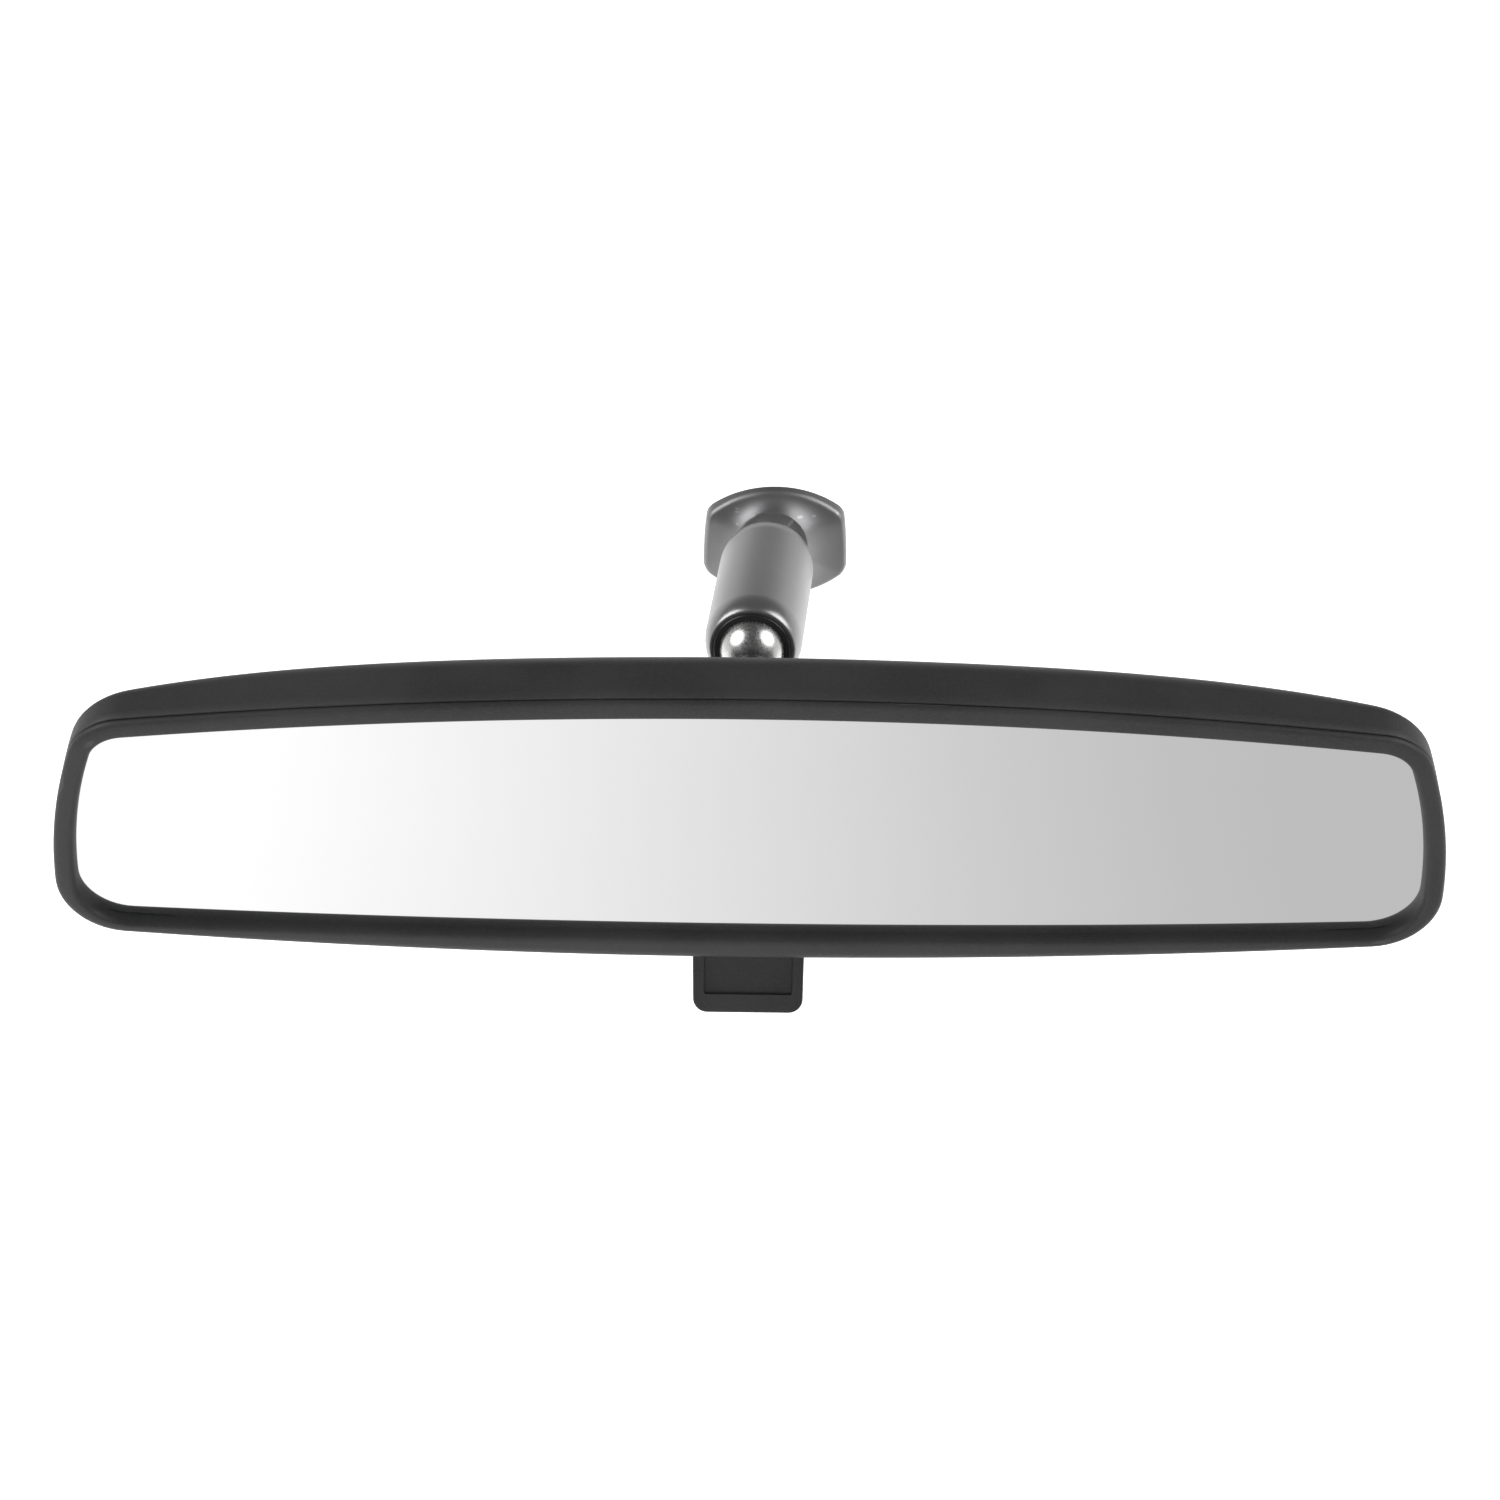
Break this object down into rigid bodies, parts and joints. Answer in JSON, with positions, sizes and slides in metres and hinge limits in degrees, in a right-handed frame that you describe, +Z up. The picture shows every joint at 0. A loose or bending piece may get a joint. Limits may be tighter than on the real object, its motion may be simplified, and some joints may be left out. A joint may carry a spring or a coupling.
{
  "type": "interior rearview mirror",
  "caption": "Interior rearview mirror: a wide day/night prism head on a double-ball tubular arm, with a windscreen foot and a toggle tab.",
  "frame": {"origin": "centre of the foot's back face, the face that lies against the windscreen button", "axes": "+Y out of the foot's back face into the windscreen, +Z up, +X to the right of someone looking into the glass; the head is on the -Y side"},
  "size_m": [0.2654, 0.1099, 0.0814],
  "materials": {
    "satin_black_paint": "satin black paint over steel and die-cast zinc",
    "black_polypropylene": "fine-grained moulded plastic",
    "polished_steel": "polished ball studs",
    "spring_steel": "drawn wire and strip",
    "plated_steel": "zinc-plated pressings and screws",
    "acetal": "smooth black bearing plastic",
    "nylon": "glass-filled moulding",
    "glass": "ground and polished prism",
    "mirror_silver": "silvered rear face of the prism",
    "foam": "adhesive foam sheet"
  },
  "bodies": {
    "mount": {"mount_foot": "satin_black_paint", "foot_set_screw": "spring_steel", "foot_ball_stud": "polished_steel"},
    "foot_seat": {"foot_spring_seat": "plated_steel"},
    "foot_ring": {"foot_ball_ring": "acetal"},
    "arm": {"arm_tube": "satin_black_paint", "arm_spring": "spring_steel"},
    "head_ring": {"head_ball_ring": "acetal"},
    "head_seat": {"head_spring_seat": "plated_steel"},
    "carrier": {"head_ball_stud": "polished_steel", "ball_carrier": "nylon", "stud_push_nut": "spring_steel"},
    "head": {"case_shell": "black_polypropylene", "front_bezel": "black_polypropylene", "mirror_glass": "glass", "mirror_silvering": "mirror_silver", "glass_foam": "foam", "pivot_bracket": "plated_steel", "bracket_screws": "plated_steel", "tilt_axle": "polished_steel", "lever_axle": "polished_steel", "detent_spring": "spring_steel"},
    "toggle": {"toggle_lever": "black_polypropylene", "crank_pin": "polished_steel"}
  },
  "joints": [
    {"name": "foot_ball_pitch", "type": "hinge", "parent": "mount", "child": "foot_seat", "pos_m": [-0.00159, -0.01751, 0.00606], "axis": [1, 0, 0], "range_deg": [-30, 22]},
    {"name": "foot_ball_yaw", "type": "hinge", "parent": "foot_seat", "child": "foot_ring", "pos_m": [-0.00159, -0.01751, 0.00606], "axis": [0, 0.2553, 0.9669], "range_deg": [-26, 26]},
    {"name": "arm_spin", "type": "hinge", "parent": "foot_ring", "child": "arm", "pos_m": [-0.00159, -0.01751, 0.00606], "axis": [0.0717, 0.9644, -0.2546], "continuous": true},
    {"name": "head_spin", "type": "hinge", "parent": "arm", "child": "head_ring", "pos_m": [-0.0046, -0.05802, 0.01675], "axis": [0.0717, 0.9644, -0.2546], "range_deg": [-90, 90]},
    {"name": "head_ball_yaw", "type": "hinge", "parent": "head_ring", "child": "head_seat", "pos_m": [-0.0046, -0.05802, 0.01675], "axis": [0, 0.2553, 0.9669], "range_deg": [-30, 22]},
    {"name": "head_ball_pitch", "type": "hinge", "parent": "head_seat", "child": "carrier", "pos_m": [-0.0046, -0.05802, 0.01675], "axis": [1, 0, 0], "range_deg": [-41, 12]},
    {"name": "day_night_tilt", "type": "hinge", "parent": "carrier", "child": "head", "pos_m": [-0.0046, -0.09202, 0.02875], "axis": [1, 0, 0], "range_deg": [0, 3.91]},
    {"name": "toggle_flip", "type": "hinge", "parent": "head", "child": "toggle", "pos_m": [-0.0046, -0.09552, -0.01225], "axis": [1, 0, 0], "range_deg": [0, 42]}
  ],
  "couplings": [
    {"joint": "toggle_flip", "follows": "day_night_tilt", "ratio": 10.731}
  ]
}
